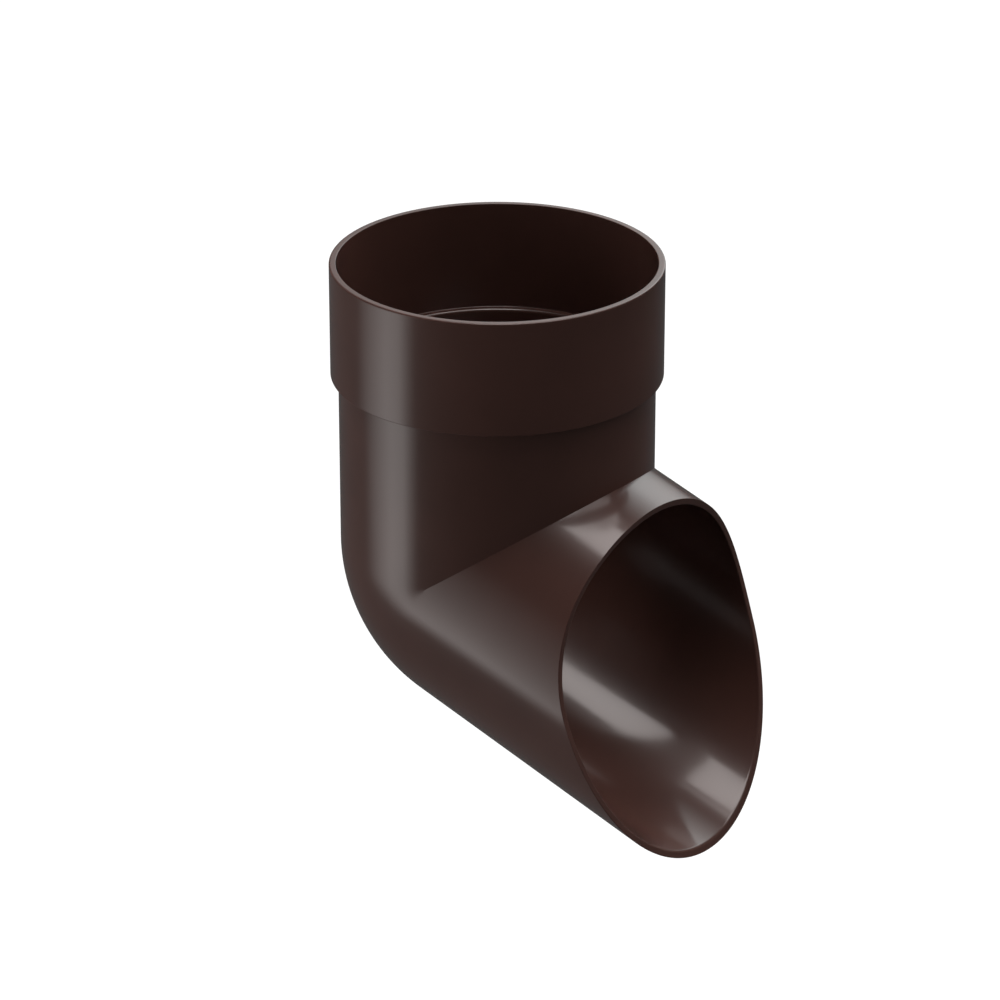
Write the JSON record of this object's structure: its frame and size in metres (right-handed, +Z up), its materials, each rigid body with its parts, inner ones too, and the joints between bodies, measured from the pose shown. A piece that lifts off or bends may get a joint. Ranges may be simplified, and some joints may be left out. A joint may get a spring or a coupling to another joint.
{
  "type": "downspout shoe",
  "caption": "Moulded plastic downspout shoe: a round pipe socket with an inner stop ledge, a short tube, a mitred bend and a scoop-shaped mouth that throws rainwater clear of a wall.",
  "frame": {"origin": "on the pipe's axis, in the plane of the ledge that the pipe's end stands on inside the socket", "axes": "+Z up the pipe, out of the socket's mouth; +X the way the water leaves; the XZ plane is the mirror plane"},
  "size_m": [0.1378, 0.105, 0.1796],
  "materials": {
    "brown_plastic": "smooth dark brown moulded PVC with a soft gloss"
  },
  "bodies": {
    "root": {"shoe_body": "brown_plastic"}
  },
  "joints": []
}
